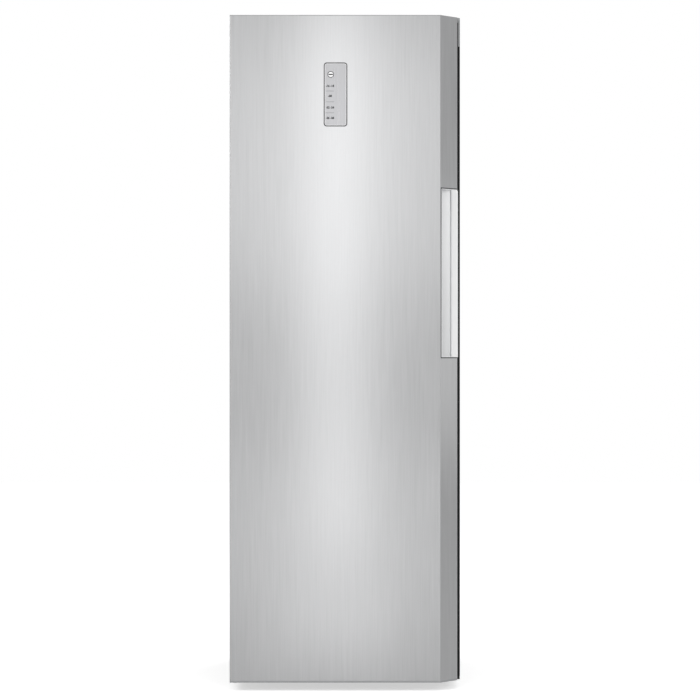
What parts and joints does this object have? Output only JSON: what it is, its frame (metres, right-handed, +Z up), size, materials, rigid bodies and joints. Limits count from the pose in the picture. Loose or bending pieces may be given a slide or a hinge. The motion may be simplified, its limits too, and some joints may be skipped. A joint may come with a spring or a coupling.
{
  "type": "upright freezer",
  "caption": "Full-height upright freezer with a bevelled brushed-steel door, recessed vertical grip, drawers behind the door and clear flap compartments on top.",
  "frame": {"origin": "on the floor under the middle of the outer box", "axes": "+Z up, -Y towards the person who opens the door, +X towards the grip side, the hinge is at -X"},
  "size_m": [0.6, 0.65, 1.76],
  "materials": {
    "dark_paint": "satin",
    "galvanised": "satin",
    "foam": "matte",
    "white_liner": "satin",
    "grey_plastic": "satin",
    "zinc_plate": "satin",
    "shelf_glass": "gloss",
    "lamp_lens": "satin",
    "fin_aluminium": "satin",
    "black_plastic": "satin",
    "white_plastic": "satin",
    "rubber": "matte",
    "black_enamel": "gloss",
    "copper": "satin",
    "brushed_skin": "satin",
    "seal_grey": "matte",
    "silver_plastic": "satin",
    "bright_trim": "satin",
    "dark_frame": "satin",
    "panel_steel": "satin",
    "board_green": "satin",
    "clear_plastic": "gloss",
    "frosted_plastic": "satin"
  },
  "bodies": {
    "cabinet": {"back_panel": "galvanised", "base_pan": "galvanised", "cabinet_foam": "foam", "cabinet_screws": "zinc_plate", "cabinet_shell": "dark_paint", "compressor": "black_enamel", "compressor_mounts": "rubber", "compressor_pipes": "copper", "condenser": "copper", "cross_member": "galvanised", "defrost_heater": "fin_aluminium", "drain_tube": "black_plastic", "drip_pan": "fin_aluminium", "duct_cover": "white_liner", "evaporation_tray": "black_plastic", "evaporator_coil": "fin_aluminium", "evaporator_fins": "fin_aluminium", "fan_motor": "black_plastic", "glass_shelves": "shelf_glass", "hinge_plates": "zinc_plate", "inner_liner": "white_liner", "lamp_cover": "lamp_lens", "machine_cover": "galvanised", "mains_gland": "black_plastic", "relay_box": "black_plastic", "top_cover": "grey_plastic"},
    "door": {"door_skin": "brushed_skin", "door_top_cap": "grey_plastic", "door_bottom_cap": "grey_plastic", "hinge_bushes": "white_plastic", "door_foam": "foam", "door_liner": "white_liner", "door_gasket": "seal_grey", "grip_cup": "silver_plastic", "grip_rail": "bright_trim", "panel_housing": "dark_frame", "panel_plate": "panel_steel", "control_board": "board_green"},
    "drawer_1": {"drawer_tub_1": "frosted_plastic", "drawer_front_1": "clear_plastic"},
    "drawer_2": {"drawer_tub_2": "frosted_plastic", "drawer_front_2": "clear_plastic"},
    "drawer_3": {"drawer_tub_3": "frosted_plastic", "drawer_front_3": "clear_plastic"},
    "drawer_4": {"drawer_tub_4": "frosted_plastic", "drawer_front_4": "clear_plastic"},
    "drawer_5": {"drawer_tub_5": "frosted_plastic", "drawer_front_5": "clear_plastic"},
    "flap_1": {"flap_1": "clear_plastic"},
    "flap_2": {"flap_2": "clear_plastic"},
    "impeller": {"fan_impeller": "white_plastic"},
    "foot_left": {"foot_left": "black_plastic"},
    "foot_right": {"foot_right": "black_plastic"},
    "rollers": {"rear_axle": "zinc_plate", "rear_rollers": "black_plastic"}
  },
  "joints": [
    {"name": "door_hinge", "type": "hinge", "parent": "cabinet", "child": "door", "pos_m": [-0.288, -0.29, 0.022], "axis": [0, 0, -1], "range_deg": [0, 120]},
    {"name": "drawer_1_slide", "type": "slide", "parent": "cabinet", "child": "drawer_1", "axis": [0, -1, 0], "range_m": [0, 0.35]},
    {"name": "drawer_2_slide", "type": "slide", "parent": "cabinet", "child": "drawer_2", "axis": [0, -1, 0], "range_m": [0, 0.35]},
    {"name": "drawer_3_slide", "type": "slide", "parent": "cabinet", "child": "drawer_3", "axis": [0, -1, 0], "range_m": [0, 0.35]},
    {"name": "drawer_4_slide", "type": "slide", "parent": "cabinet", "child": "drawer_4", "axis": [0, -1, 0], "range_m": [0, 0.35]},
    {"name": "drawer_5_slide", "type": "slide", "parent": "cabinet", "child": "drawer_5", "axis": [0, -1, 0], "range_m": [0, 0.25]},
    {"name": "flap_1_hinge", "type": "hinge", "parent": "cabinet", "child": "flap_1", "pos_m": [0, -0.225, 1.673], "axis": [-1, 0, 0], "range_deg": [0, 80]},
    {"name": "flap_2_hinge", "type": "hinge", "parent": "cabinet", "child": "flap_2", "pos_m": [0, -0.225, 1.44233], "axis": [-1, 0, 0], "range_deg": [0, 80]},
    {"name": "fan_spin", "type": "hinge", "parent": "cabinet", "child": "impeller", "pos_m": [0, 0.236, 0.77], "axis": [0, -1, 0], "continuous": true},
    {"name": "foot_left_screw", "type": "hinge", "parent": "cabinet", "child": "foot_left", "pos_m": [-0.25, -0.15, 0], "axis": [0, 0, 1], "continuous": true},
    {"name": "foot_right_screw", "type": "hinge", "parent": "cabinet", "child": "foot_right", "pos_m": [0.25, -0.15, 0], "axis": [0, 0, 1], "continuous": true},
    {"name": "rollers_spin", "type": "hinge", "parent": "cabinet", "child": "rollers", "pos_m": [0, 0.273, 0.014], "axis": [1, 0, 0], "continuous": true}
  ],
  "couplings": [
    {"joint": "drawer_1_slide", "follows": "door_hinge", "m_per_rad": 0.092},
    {"joint": "drawer_2_slide", "follows": "door_hinge", "m_per_rad": 0.092},
    {"joint": "drawer_3_slide", "follows": "door_hinge", "m_per_rad": 0.092},
    {"joint": "drawer_4_slide", "follows": "door_hinge", "m_per_rad": 0.092},
    {"joint": "drawer_5_slide", "follows": "door_hinge", "m_per_rad": 0.092},
    {"joint": "flap_1_hinge", "follows": "door_hinge", "ratio": 0.42},
    {"joint": "flap_2_hinge", "follows": "door_hinge", "ratio": 0.42}
  ]
}
